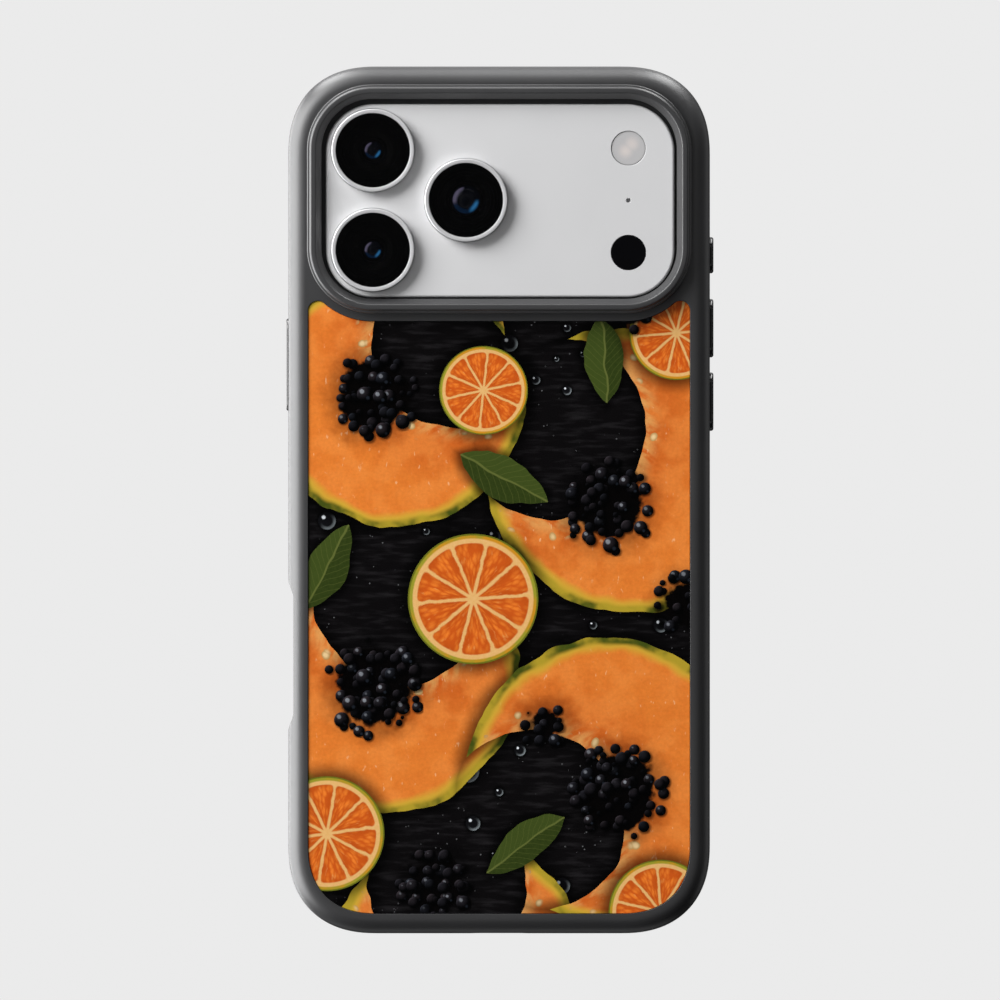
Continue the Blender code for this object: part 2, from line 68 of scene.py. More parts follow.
# Lenses: x, y, radius of the opening that shows the front element
LENSES = {
    "upper": (-24.2, 67.0, 1.9),
    "middle": (-6.35, 57.45, 3.0),
    "lower": (-24.2, 47.9, 1.9),
}
LENS_RADIUS, COVER_RADIUS, BARREL_RADIUS, BARREL_FLOOR_Z = 8.1, 7.05, 6.4, 10.45
COVER_THICKNESS = 0.5
SMALL_X, FLASH_Y, MICROPHONE_Y, SENSOR_Y = 24.8, 67.4, 57.4, 47.4
WINDOW_RADIUS, WINDOW_DEPTH = 3.4, 0.9
MICROPHONE_RADIUS, MICROPHONE_DEPTH = 0.42, 1.4

# Covers: node, body, middle along Y, length, how far they stand out of the wall, side
BUTTONS = {
    "action": ("action_cover", "action_button", 46.95, 6.95, 0.7, 1),
    "volume_up": ("volume_up_cover", "volume_up_button", 32.95, 11.2, 0.7, 1),
    "volume_down": ("volume_down_cover", "volume_down_button", 18.85, 11.2, 0.7, 1),
    "side": ("side_cover", "side_button", 25.95, 17.7, 0.42, -1),
}
BUTTON_HEIGHT, BUTTON_ROUND = 4.2, 0.45

# The scoop in the left wall, and the key in it
SCOOP_Y, SCOOP_LENGTH, SCOOP_RAMP, SCOOP_DEPTH = -29.8, 29.0, 3.5, 0.95
KEY_WINDOW_LENGTH, KEY_WINDOW_HEIGHT = 20.6, 5.4
KEY_LENGTH, KEY_HEIGHT, KEY_DEPTH, KEY_TRAVEL = 17.6, 3.4, 0.7, 0.2

# The bottom edge, with openings in the sleeve: x, length, height
SOCKET_WIDTH, SOCKET_HEIGHT, SOCKET_DEPTH = 8.9, 3.1, 6.4
TONGUE_WIDTH, TONGUE_THICKNESS, TONGUE_LENGTH = 6.7, 0.7, 4.8
SPEAKER_X, SPEAKER_PITCH, SPEAKER_HOLES = 20.6, 2.75, 5
SPEAKER_HOLE_RADIUS, SPEAKER_HOLE_DEPTH = 0.8, 1.2
BOTTOM_OPENINGS = ((0, 14.0, 6.6), (-SPEAKER_X, 15.6, 3.4), (SPEAKER_X, 15.6, 3.4))
SCREW_X, SCREW_RADIUS, SCREW_SEAT = 9.4, 0.75, 0.9

# The front glass, let into the frame, with its listening slot
FRAME_RIM, GLASS_INSET, GLASS_THICKNESS = 1.4, 1.55, 0.85
EARPIECE_LENGTH, EARPIECE_WIDTH, EARPIECE_FROM_EDGE = 10.5, 0.7, 1.1


# Outlines and solids


def quarter_turn(steps):
    """Angles from 0 to 90 degrees."""
    return [math.pi / 2 * i / steps for i in range(steps + 1)]


def squared(radius):
    """A quarter of a squared circle, from +X to +Y."""
    power = 2 / SQUARENESS
    return [
        (radius * max(0.0, math.cos(a)) ** power, radius * max(0.0, math.sin(a)) ** power)
        for a in quarter_turn(28)
    ]


def quarter(radius, steps=24):
    """A quarter of a circle, from +X to +Y."""
    return [(radius * math.cos(a), radius * math.sin(a)) for a in quarter_turn(steps)]


def outline(half_x, half_y, corner):
    """A box outline. corner is a quarter from +X to +Y, and the other three mirror it."""
    reach_x, reach_y = half_x - corner[0][0], half_y - corner[-1][1]
    first = [(reach_x + x, reach_y + y) for x, y in corner]
    second = [(-x, y) for x, y in reversed(first)]
    return first + second + [(-x, -y) for x, y in first] + [(-x, -y) for x, y in second]


def phone_outline(inset):
    return outline(PHONE_X - inset, PHONE_Y - inset, squared(PHONE_CORNER - inset))


def sleeve_outline(inset):
    return outline(
        PHONE_X + WALL - inset, PHONE_Y + WALL - inset, squared(PHONE_CORNER + WALL - inset)
    )


def ring_outline(inset):
    loop = outline(RING_HALF_X - inset, RING_HALF_Y - inset, quarter(RING_CORNER - inset))
    return [(x, y + RING_Y) for x, y in loop]


def plateau_outline(inset=0.0):
    """The plateau sits a little right and low in the ring's window."""
    loop = ring_outline(PLATEAU_EDGE + inset)
    return [(x + PLATEAU_SHIFT[0], y + PLATEAU_SHIFT[1]) for x, y in loop]


def circle(radius, segments=96):
    turns = [2 * math.pi * i / segments for i in range(segments)]
    return [(radius * math.cos(a), radius * math.sin(a)) for a in turns]


def disc(radius, segments):
    """A circle, as a function of its inset."""
    return lambda inset: circle(radius - inset, segments)


def stadium(length, width, steps=12):
    """An outline with round ends, as a function of its inset."""

    def loop(inset=0.0):
        half_x, half_y = length / 2 - inset, width / 2 - inset
        return outline(half_x, half_y, quarter(half_y, steps))

    return loop


def arc(centre, radius, start, end, steps):
    """Points from one angle to another, in degrees."""
    turns = [math.radians(start + (end - start) * i / steps) for i in range(steps + 1)]
    return [(centre[0] + radius * math.cos(a), centre[1] + radius * math.sin(a)) for a in turns]


def plate_outline(inset):
    """Squared corners below, and above two horns beside the camera ring."""
    half_x = PHONE_X + WALL - PLATE_BORDER - inset
    bottom = -PHONE_Y - WALL + PLATE_BORDER + inset
    reach = PHONE_CORNER + WALL - PLATE_BORDER - inset
    lower = [(half_x - reach + x, bottom + reach - y) for x, y in reversed(squared(reach))]
    ring_x, ring_y = RING_HALF_X - RING_CORNER, RING_Y - RING_HALF_Y + RING_CORNER
    hollow, horn = RING_CORNER + PLATE_TO_RING + inset, HORN_ROUND - inset
    horn_x = half_x - horn
    drop = math.sqrt((hollow + horn) ** 2 - (horn_x - ring_x) ** 2)
    touch = math.degrees(math.atan2(drop, horn_x - ring_x))
    tip = arc((horn_x, ring_y - drop), horn, 0, 180 - touch, 14)
    beside_ring = arc((ring_x, ring_y), hollow, -touch, -90, 20)
    right = lower + tip + beside_ring[1:]
    return right + [(-x, y) for x, y in reversed(right)]


# How a loft lies: its outlines in X and Y, in Y and Z, or in X and Z


def flat(u, v, height):
    return (u, v, height)


def sideways(u, v, height):
    return (height, u, v)


def lengthways(u, v, height):
    return (u, height, v)


def loft(name, layers, place=flat, at=(0, 0, 0), closed=False):
    """A solid through outlines of as many points. Closed joins the last to the first."""
    mesh = bmesh.new()
    loops = [
        [mesh.verts.new(Vector(place(u, v, height)) / 1000) for u, v in shape]
        for shape, height in layers
    ]
    pairs = list(zip(loops, loops[1:])) + ([(loops[-1], loops[0])] if closed else [])
    for near, far in pairs:
        for i in range(len(near)):
            j = (i + 1) % len(near)
            mesh.faces.new((near[i], near[j], far[j], far[i]))
    if not closed:
        mesh.faces.new(loops[0])
        mesh.faces.new(loops[-1])
    bmesh.ops.recalc_face_normals(mesh, faces=mesh.faces)
    data = bpy.data.meshes.new(name)
    mesh.to_mesh(data)
    mesh.free()
    piece = bpy.data.objects.new(name, data)
    piece.location = Vector(at) / 1000
    bpy.context.scene.collection.objects.link(piece)
    return piece


def turned(name, profile, centre, segments=96, closed=False):
    """A round piece about an upright axis. profile is (radius, height) points."""
    layers = [(circle(radius, segments), height) for radius, height in profile]
    return loft(name, layers, closed=closed, at=(*centre, 0))


def rounded_end(loop, end, radius, steps, turn=1):
    """Layers that round the edge where a prism ends. turn is -1 where it ends downwards."""
    return [
        (loop(radius * (1 - math.cos(a))), end - turn * radius * (1 - math.sin(a)))
        for a in quarter_turn(steps)
    ]


def rounded_rim(edge, top, radius, steps):
    """Points of a turned profile round its outer top edge."""
    return [
        (edge - radius * (1 - math.cos(a)), top - radius * (1 - math.sin(a)))
        for a in quarter_turn(steps)
    ]


def flared(loop, inner, surface, outer, radius):
    """Layers of a cutter whose mouth leaves a rounded edge at the surface."""
    turn = 1 if surface > inner else -1
    mouth = [
        (loop(-radius * (1 - math.cos(a))), surface - turn * radius * (1 - math.sin(a)))
        for a in quarter_turn(4)
    ]
    return [(loop(0.0), inner)] + mouth + [(loop(-radius), outer)]


def carve(target, tools, operation="DIFFERENCE"):
    """Takes the tools away from the target, or adds them, and removes them."""
    bpy.context.view_layer.update()
    for tool in tools:
        step = target.modifiers.new(tool.name, "BOOLEAN")
        step.operation = operation
        step.solver = "EXACT"
        step.object = tool
        bpy.context.view_layer.update()
        shape = target.evaluated_get(bpy.context.evaluated_depsgraph_get())
        made = bpy.data.meshes.new_from_object(shape)
        target.modifiers.clear()
        target.data = made
        bpy.data.objects.remove(tool)


pieces = []


def dress(piece, finish, body, nodes, angle=32):
    """Smooths edges below the angle, gives the finish, sets the body, and hides the nodes it
    replaces.
    """
    pieces.append(piece)
    piece.data.materials.clear()
    piece.data.materials.append(finish.material)
    piece.data.shade_smooth()
    piece.data.set_sharp_from_angle(angle=math.radians(angle))
    even = piece.modifiers.new("even_normals", "WEIGHTED_NORMAL")
    even.keep_sharp = True
    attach(piece, body)
    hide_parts(*nodes)


# Finishes


class Value:
    """What changes from point to point over a surface."""

    def __init__(self, finish, socket):
        self.finish = finish
        self.socket = socket

    def other(self, name):
        """Another output of the node that this one comes from."""
        return Value(self.finish, self.socket.node.outputs[name])

    def math(self, operation, *others):
        """A Math node that takes this value first."""
        return self.finish.node("Math", {"operation": operation}, self, *others)

    def __add__(self, other):
        return self.math("ADD", other)

    __radd__ = __add__

    def __sub__(self, other):
        return self.math("SUBTRACT", other)

    def __rsub__(self, other):
        return self.finish.node("Math", {"operation": "SUBTRACT"}, other, self)

    def __mul__(self, other):
        return self.math("MULTIPLY", other)

    __rmul__ = __mul__

    def __truediv__(self, other):
        return self.math("DIVIDE", other)

    def __rtruediv__(self, other):
        return self.finish.node("Math", {"operation": "DIVIDE"}, other, self)

    def __lt__(self, other):
        return self.math("LESS_THAN", other)

    def __gt__(self, other):
        """The reflected form of <."""
        return self.math("GREATER_THAN", other)

    def __or__(self, other):
        """The larger of the two."""
        return self.math("MAXIMUM", other)

    __ror__ = __or__

    def __and__(self, other):
        """The smaller of the two."""
        return self.math("MINIMUM", other)

    __rand__ = __and__

    def size(self):
        return self.math("ABSOLUTE")

    def fade(self, start, end):
        """0 at start to 1 at end, smoothly. start may be above end."""
        ramp = {"interpolation_type": "SMOOTHSTEP"}
        return self.finish.node("MapRange", ramp, self, start, end, 0.0, 1.0)


class Finish:
    """A material, with its Principled shader ready to be fed."""

    def __init__(self, name, colour, roughness, **fixed):
        self.material = bpy.data.materials.new(name)
        self.material.use_nodes = True
        self.tree = self.material.node_tree
        self.shader = self.tree.nodes["Principled BSDF"]
        self.feed("Base Color", colour)
        self.feed("Roughness", roughness)
        for socket, value in fixed.items():
            self.feed(socket.replace("_", " "), value)

    def put(self, socket, value):
        """Links a value to a socket, or sets the socket to a number, colour or point."""
        if isinstance(value, Value):
            self.tree.links.new(value.socket, socket)
        elif isinstance(value, tuple) and socket.type == "RGBA":
            socket.default_value = (*value, 1.0)
        else:
            socket.default_value = value

    def feed(self, name, value):
        """Feeds a socket of the Principled shader."""
        self.put(self.shader.inputs[name], value)

    def node(self, kind, settings=None, *values, **named):
        """A node by its type, its settings, and its sockets in order or by name."""
        made = self.tree.nodes.new("ShaderNode" + kind)
        for key, value in (settings or {}).items():
            setattr(made, key, value)
        shown = [socket for socket in made.inputs if socket.enabled]
        for socket, value in zip(shown, values):
            self.put(socket, value)
        for key, value in named.items():
            self.put(made.inputs[key.replace("_", " ")], value)
        return Value(self, next(socket for socket in made.outputs if socket.enabled))

    def vector(self, operation, *values, **named):
        return self.node("VectorMath", {"operation": operation}, *values, **named)

    def point(self, x, y=0.0, z=0.0):
        return self.node("CombineXYZ", None, x, y, z)

    def place(self):
        """The point on the surface, in mm, from the piece's own origin."""
        return self.vector("SCALE", self.node("TexCoord").other("Object"), Scale=1000.0)

    def plan(self):
        """The same point seen from above, without its height."""
        across, along = self.split(self.place())
        return self.point(across, along)

    def mix(self, share, low, high):
        """A blend of two colours."""
        return self.node("Mix", {"data_type": "RGBA"}, share, low, high)

    def choose(self, share, low, high):
        """A blend of two points."""
        return self.node("Mix", {"data_type": "VECTOR"}, share, low, high)

    def dim(self, colour, share):
        """A colour times a number."""
        return self.node("Mix", {"data_type": "RGBA", "blend_type": "MULTIPLY"}, 1.0, colour, share)

    def noise(self, point, scale, detail, roughness=0.5):
        return self.node("TexNoise", None, point, Scale=scale, Detail=detail, Roughness=roughness)

    def apart(self, point, offset=(0, 0, 0)):
        """How far the point is from the offset."""
        return self.vector("DISTANCE", point, offset)

    def split(self, point):
        """The point's X and Y."""
        across = self.node("SeparateXYZ", None, point)
        return across, across.other("Y")

    def circles(self, radius, scale, detail):
        """Noise that changes with the radius alone."""
        return self.noise(self.point(radius), scale, detail)

    def relief(self, height, strength, depth):
        """Raises the surface by height, a number from 0 to 1. depth is in mm."""
        bump = self.node("Bump", None, Strength=strength, Distance=depth / 1000, Height=height)
        self.feed("Normal", bump)


def soft_black():
    """The sleeve's moulded plastic: fine even grain and a little handling."""
    finish = Finish("soft black moulding", (0.02, 0.02, 0.021), 0.4, Specular_IOR_Level=0.65)
    point = finish.place()
    grain = finish.noise(point, 7.0, 3.0, 0.6)
    cloud = finish.noise(point, 0.06, 3.0)
    finish.feed("Base Color", finish.mix(cloud, (0.0175, 0.0175, 0.0185), (0.0235, 0.0235, 0.0245)))
    finish.feed("Roughness", cloud * 0.1 + grain * 0.06 + 0.33)
    finish.relief(grain, 0.12, 0.02)
    return finish


def satin_silver():
    """Bead-blasted, anodised aluminium, whose oxide layer scatters most of the light."""
    finish = Finish("satin silver", (0.665, 0.665, 0.67), 0.4, Metallic=0.3)
    point = finish.place()
    beads = finish.noise(point, 9.0, 2.0, 0.6)
    cloud = finish.noise(point, 0.09, 2.0)
    finish.feed("Base Color", finish.mix(cloud, (0.655, 0.655, 0.662), (0.68, 0.68, 0.686)))
    finish.feed("Roughness", beads * 0.08 + cloud * 0.04 + 0.42)
    finish.relief(beads, 0.15, 0.015)
    return finish


def turned_silver():
    """The lens rings: polished, with the fine circles that turning leaves."""
    finish = Finish("turned silver", (0.66, 0.66, 0.67), 0.22, Metallic=0.5)
    circles = finish.circles(finish.apart(finish.plan()), 26.0, 2.0)
    finish.feed("Roughness", circles * 0.1 + 0.24)
    finish.relief(circles, 0.05, 0.005)
    return finish


def cover_glass():
    """Clear, coated, with the faintest wiping marks."""
    finish = Finish("clear cover", (0.96, 0.97, 1.0), 0.02, Transmission_Weight=1.0, IOR=1.45)
    marks = finish.noise(finish.place(), 0.5, 3.0)
    finish.feed("Roughness", marks * 0.03)
    return finish


def barrel_black():
    """Black anodised metal with turned circles, brown-grey towards the opening."""
    finish = Finish("barrel black", (0.002, 0.002, 0.002), 0.5, Specular_IOR_Level=0.05)
    radius = finish.apart(finish.plan())
    steps = finish.circles(radius, 9.0, 1.0)
    warm = radius.fade(4.6, 3.4)
    finish.feed("Base Color", finish.mix(warm, (0.0006, 0.0006, 0.0007), (0.0045, 0.004, 0.0036)))
    finish.feed("Roughness", steps * 0.2 + 0.4)
    finish.relief(steps, 0.3, 0.04)
    return finish


def element_with_painted_glints(name, half_width):
    """A front element with painted glints that glow: violet on one side of its dome, blue across it.
    """
    finish = Finish(name, (0.002, 0.003, 0.006), 0.08, Specular_IOR_Level=0.1)
    across, along = finish.split(finish.place())
    across, along = across / half_width, along / half_width
    point = finish.point(across, along)
    rim = finish.apart(point).fade(0.94, 0.84)
    # Painted highlights: a violet glint at one side of the dome and a blue one across it
    painted_violet_glint = finish.apart(point, (0.35, -0.12, 0)).fade(0.88, 1.14) * rim
    painted_violet_glint = painted_violet_glint * across.fade(-0.05, -0.30) * along.fade(-0.35, 0.0)
    painted_blue_glint = finish.apart(point, (-0.25, 0.25, 0)).fade(0.80, 1.08)
    painted_blue_glint = painted_blue_glint * finish.apart(point).fade(0.94, 0.72)
    painted_blue_glint = painted_blue_glint * across.fade(0.10, 0.48) * along.fade(0.12, -0.24)
    # A painted reflection: a faint dark blue band low in the dome
    lower = finish.apart(point, (0.1, 0.2, 0)).fade(0.75, 0.9) * rim * along.fade(-0.1, -0.4)
    colour = finish.mix(painted_violet_glint, (0.0012, 0.0016, 0.003), (0.105, 0.092, 0.145))
    colour = finish.mix(painted_blue_glint, colour, (0.03, 0.18, 0.40))
    colour = finish.mix(lower * 0.2, colour, (0.008, 0.05, 0.14))
    finish.feed("Base Color", colour)
    # The painted glints and reflection also glow, though the element is no lamp
    finish.feed("Emission Color", colour)
    finish.feed("Emission Strength", 0.6)
    return finish


def flash_diffuser():
    """Frosted window over two warm lamps."""
    finish = Finish("flash diffuser", (0.60, 0.59, 0.58), 0.3, Coat_Weight=0.5, Coat_Roughness=0.1)
    spot = finish.plan()
    lamps = finish.apart(spot, (-0.55, -0.5, 0)).fade(1.9, 0.1) * 0.9
    lamps = lamps | finish.apart(spot, (0.65, 0.85, 0)).fade(1.9, 0.2) * 0.75
    edge = finish.apart(spot).fade(2.7, 3.4)
    frost = finish.noise(finish.place(), 5.0, 3.0)
    colour = finish.mix(lamps, (0.38, 0.375, 0.38), (0.54, 0.49, 0.467))
    colour = finish.mix(edge, colour, (0.31, 0.31, 0.31))
    finish.feed("Base Color", finish.mix(frost * 0.12, colour, (0.75, 0.74, 0.73)))
    rings = finish.circles(finish.apart(spot), 6.0, 0.0)
    finish.relief(rings * 0.6 + frost * 0.4, 0.15, 0.04)
    return finish


def black_glass(name):
    """Polished glass that is printed black behind."""
    finish = Finish(name, (0.004, 0.004, 0.005), 0.05, Specular_IOR_Level=0.35)
    marks = finish.noise(finish.place(), 0.12, 4.0)
    finish.feed("Roughness", marks * 0.07 + 0.025)
    finish.feed("Base Color", finish.mix(marks, (0.0014, 0.0014, 0.0018), (0.003, 0.003, 0.0035)))
    return finish


def gloss_black():
    """The button covers: glossy moulding with a faint ripple."""
    finish = Finish("gloss black moulding", (0.012, 0.012, 0.012), 0.16, Specular_IOR_Level=0.6)
    ripple = finish.noise(finish.place(), 1.3, 2.0)
    finish.feed("Roughness", ripple * 0.08 + 0.1)
    finish.feed("Base Color", finish.mix(ripple, (0.010, 0.010, 0.010), (0.015, 0.015, 0.016)))
    finish.relief(ripple, 0.05, 0.05)
    return finish


def screw_steel():
    """Plain steel with fine marks."""
    finish = Finish("screw steel", (0.55, 0.55, 0.56), 0.3, Metallic=1.0)
    marks = finish.noise(finish.place(), 14.0, 2.0)
    finish.feed("Roughness", marks * 0.2 + 0.22)
    finish.relief(marks, 0.1, 0.01)
    return finish


def socket_finish():
    """Black tongue with a row of gold contacts."""
    finish = Finish("socket tongue", (0.008, 0.008, 0.008), 0.45)
    pitch, half_share, half_row, inner_end = 0.5, 0.28, 2.8, -PHONE_Y + 4.3
    across, along = finish.split(finish.place())
    row = (across * (1 / pitch)).math("FRACT")
    pads = ((row - 0.5).size() < half_share) * (across.size() < half_row) * (along < inner_end)
    finish.feed("Base Color", finish.mix(pads, (0.008, 0.008, 0.008), (0.80, 0.56, 0.22)))
    finish.feed("Metallic", pads)
    return finish


class Print(Finish):
    """The picture on the plate, put together from motifs that are laid one over another."""

    def __init__(self):
        super().__init__("fruit print", (0.01, 0.01, 0.01), 0.3, Specular_IOR_Level=0.35)
        self.spot = self.plan()
        self.fine = self.noise(self.spot, 1.6, 3.0, 0.6)
        self.cloud = self.noise(self.spot, 0.16, 3.0)
        self.ripple = self.noise(self.spot, 0.5, 3.0)
        self.bent = self.warp(0.11, 3.0)
        self.colour = self.ground()

    def warp(self, scale, reach):
        """The place on the plate, pushed about a little, so that outlines look grown."""
        push = self.noise(self.spot, scale, 2.0).other("Color")
        push = self.vector("SUBTRACT", push, (0.5, 0.5, 0.5))
        push = self.vector("MULTIPLY", push, (reach, reach, 0))
        return self.vector("ADD", self.spot, push)

    def stretch(self, point, x, y):
        """The point times x and y, for noise that is drawn out one way."""
        return self.vector("MULTIPLY", point, (x, y, 1))

    def ground(self):
        """Nearly black slate with a few pale flecks."""
        streaks = self.noise(self.stretch(self.spot, 0.16, 0.9), 1.0, 4.0)
        dark = self.mix(streaks.fade(0.45, 0.75), (0.0026, 0.0022, 0.0025), (0.011, 0.010, 0.011))
        flecks = self.node("TexVoronoi", None, self.spot, Scale=0.8)
        return self.mix((flecks < 0.12) * self.cloud.fade(0.5, 0.6), dark, (0.09, 0.09, 0.095))

    def lay(self, motifs, shape, shadow, point=None):
        """Runs through motifs of one kind, each (x, y, size, turn), later ones on top.

        shape gives the distance outside a motif of size 1, and shadow is its reach in mm. Returns
        where the point lies on its motif, whether it is on one, and the shade of those on top.
        """
        point = point or self.spot
        here, cover, shade = point, None, None
        for x, y, size, turn in motifs:
            angles, scale = (0, 0, math.radians(turn)), (size, size, 1)
            own = self.node("Mapping", {"vector_type": "TEXTURE"}, point, (x, y, 0), angles, scale)
            outside = shape(own)
            inside = outside < 0.0
            halo = outside.fade(-shadow / size * 0.1, shadow / size) * 0.8 + 0.2
            here = self.choose(inside, here, own)
            cover = inside if cover is None else cover | inside
            cast = halo if shade is None else shade * halo
            shade = cast | inside
        return here, cover, shade

    def slices(self, motifs):
        """Crescent slices of a melon, hollow side towards +Y of the motif."""
        middle, hollow = (0.0, 0.60, 0.0), 0.64

        def crescent(own):
            return (self.apart(own) - 1.0) | (hollow - self.apart(own, middle))

        own, cover, shade = self.lay(motifs, crescent, 3.5, self.bent)
        out = self.apart(own)
        bite = self.apart(own, middle) - hollow
        depth = bite.fade(0.0, 0.55) * 0.7 + self.ripple * 0.5 - 0.1
        flesh = self.mix(depth, (0.46, 0.080, 0.009), (0.65, 0.180, 0.025))
        flesh = self.mix(self.cloud.fade(0.42, 0.62) * 0.5, flesh, (0.71, 0.225, 0.042))
        strings = self.noise(self.stretch(own, 16, 5), 1.0, 3.0)
        edge = bite.fade(0.15, 0.0) * strings.fade(0.36, 0.60)
        flesh = self.mix(edge * 0.8, flesh, (0.62, 0.31, 0.09))
        gleam = self.noise(self.stretch(self.bent, 1.1, 0.5), 1.0, 2.0).fade(0.64, 0.72)
        flesh = self.mix(gleam * self.ripple.fade(0.45, 0.6) * 0.5, flesh, (0.78, 0.46, 0.24))
        flesh = self.dim(flesh, self.fine * 0.36 + 0.82)
        rind = (out + (self.cloud - 0.5) * 0.05).fade(0.875, 0.945)
        flesh = self.mix(rind, flesh, (0.52, 0.31, 0.03))
        skin = (out + (self.cloud - 0.5) * 0.03).fade(0.93, 0.97)
        skin_colour = self.mix(self.cloud.fade(0.35, 0.6), (0.045, 0.062, 0.006), (0.36, 0.26, 0.02))
        flesh = self.mix(skin, flesh, skin_colour)
        pits = self.node("TexVoronoi", None, own, Scale=8.5)
        band = bite.fade(0.02, 0.05) * bite.fade(0.15, 0.11)
        seed = self.mix(pits.fade(0.10, 0.28), (0.72, 0.52, 0.26), (0.42, 0.24, 0.08))
        flesh = self.mix((pits < 0.28) * band, flesh, seed)
        self.blend(flesh, cover, shade)

    def wheels(self, motifs):
        """Cut rounds of citrus fruit."""
        segments = 10
        own, cover, shade = self.lay(motifs, lambda own: self.apart(own) - 1.0, 3.5)
        out = self.apart(own)
        across, along = self.split(own)
        turn = along.math("ARCTAN2", across) * (segments / (2 * math.pi))
        turn = turn + (self.ripple - 0.5) * 0.18
        middle = (turn.math("FRACT") - 0.5).size()
        wall = (0.5 - middle) * (2 * math.pi / segments) * out - 0.012
        field = wall.math("SMOOTH_MIN", 0.87 - out, 0.10)
        field = field.math("SMOOTH_MIN", out - 0.06, 0.06)
        pulp = self.node("TexVoronoi", None, self.point(turn * 3.1, out * 3.0), Scale=2.2)
        streak = self.noise(self.point(turn * 2.6, out * 2.0, 0.3), 3.0, 2.0)
        flesh = self.mix(pulp.fade(0.1, 0.75), (0.72, 0.18, 0.020), (0.50, 0.080, 0.007))
        flesh = self.mix(streak.fade(0.60, 0.80) * 0.6, flesh, (0.74, 0.34, 0.09))
        flesh = self.mix(field.fade(0.14, 0.0) * 0.5, flesh, (0.36, 0.055, 0.005))
        pith = self.mix(self.fine, (0.60, 0.31, 0.085), (0.70, 0.44, 0.18))
        inside = self.mix(field.fade(0.0, 0.025), pith, flesh)
        peel = self.mix(self.cloud.fade(0.4, 0.6), (0.50, 0.22, 0.012), (0.26, 0.25, 0.02))
        inside = self.mix(out.fade(0.915, 0.94), inside, peel)
        rim = self.mix(self.fine, (0.07, 0.09, 0.008), (0.16, 0.16, 0.012))
        inside = self.mix(out.fade(0.965, 0.985), inside, rim)
        self.blend(inside, cover, shade)

    def leaves(self, motifs):
        """Leaves between two arcs, with a vein along the middle and branches from it."""

        def pointed(own):
            radius = 1.4142
            return (self.apart(own, (0, -1, 0)) | self.apart(own, (0, 1, 0))) - radius

        own, cover, shade = self.lay(motifs, pointed, 2.2, self.bent)
        across, along = self.split(own)
        lift = along.size()
        vein = lift.fade(0.03, 0.01)
        branch = ((across + lift * -1.1) * 6.0).math("FRACT")
        branch = (branch - 0.5).size().fade(0.44, 0.5) * 0.6
        green = self.mix(along.fade(-0.03, 0.03), (0.014, 0.026, 0.004), (0.034, 0.054, 0.009))
        green = self.mix(self.fine * 0.5, green, (0.055, 0.075, 0.013))
        green = self.mix((vein | branch) * 0.6, green, (0.13, 0.15, 0.035))
        self.blend(green, cover, shade)

    def heap(self, point, places, offset=(0, 0)):
        """How far the point is outside the nearest heap. places are (x, y, radius)."""
        nearest = None
        for x, y, radius in places:
            out = self.apart(point, (x + offset[0], y + offset[1], 0)) - radius
            nearest = out if nearest is None else nearest & out
        return nearest

    def berries(self, places, scale, offset, gleam):
        """Dark round berries in heaps, whole ones only."""
        point = self.vector("ADD", self.spot, (*offset, 0))
        even = {"Scale": scale, "Randomness": 0.5}
        cells = self.node("TexVoronoi", None, point, **even)
        size = self.node("TexVoronoi", {"feature": "N_SPHERE_RADIUS"}, point, **even) / scale
        centre = cells.other("Position")
        own = self.vector("SUBTRACT", point, centre)
        own = self.vector("DIVIDE", own, self.point(size, size, 1.0))
        out = self.apart(own)
        here = self.heap(centre, places, offset) < 0.0
        lit = self.apart(own, (-0.35, 0.4, 0)).fade(1.15, 0.1)
        skin = self.mix(lit, (0.0008, 0.0009, 0.0012), (0.036, 0.041, 0.056))
        tint = self.split(cells.other("Color"))[0]
        skin = self.mix(tint * 0.4 * lit, skin, (0.10, 0.055, 0.05))
        spark = self.apart(own, (-0.34, 0.38, 0)).fade(0.38, 0.18) * (tint * 0.4 + 0.6)
        skin = self.mix(spark * gleam, skin, (0.74, 0.79, 0.88))
        glow = self.apart(own, (0.42, -0.44, 0)).fade(0.34, 0.1) * out.fade(0.95, 0.8)
        skin = self.mix(glow * 0.5, skin, (0.07, 0.09, 0.13))
        low = self.apart(own, (0.16, -0.18, 0))
        shade = (1.0 - here) | (low.fade(0.85, 1.35) * 0.75 + 0.25)
        self.blend(skin, (out < 0.99) * here, shade)

    def heaps(self, places):
        """Three layers of berries, the lower ones darker, black in between."""
        core = self.heap(self.bent, places) + (self.ripple - 0.5) * 3.0
        self.blend((0.0015, 0.001, 0.001), core.fade(-1.4, -2.4), core.fade(-2.0, 3.5) * 0.5 + 0.5)
        wider = [(x, y, radius + 0.5) for x, y, radius in places]
        self.berries(wider, 0.36, (3.1, 7.7), 0.6)
        self.berries(places, 0.34, (16.4, 12.9), 0.9)
        self.berries(places, 0.32, (11.3, 2.9), 1.0)

    def drops(self, motifs):
        """Clear drops that lie on the slate."""
        own, cover, shade = self.lay(motifs, lambda own: self.apart(own) - 1.0, 0.8)
        rim = self.apart(own).fade(0.55, 0.95) * self.apart(own, (0.5, -0.5, 0)).fade(1.3, 0.4)
        drop = self.mix(rim, (0.004, 0.004, 0.005), (0.16, 0.18, 0.19))
        spark = self.apart(own, (-0.38, 0.40, 0)).fade(0.28, 0.12)
        self.blend(self.mix(spark, drop, (0.70, 0.74, 0.78)), cover, shade)

    def blend(self, motif, cover, shade):
        """Lays a motif on what is there, with its shade."""
        self.colour = self.dim(self.mix(cover, self.colour, motif), shade)

    def done(self):
        """Feeds the picture to the shader, with a thin gloss over it."""
        self.feed("Base Color", self.colour)
        self.feed("Roughness", self.fine * 0.06 + self.cloud * 0.06 + 0.12)
        self.relief(self.fine, 0.05, 0.01)
        return self


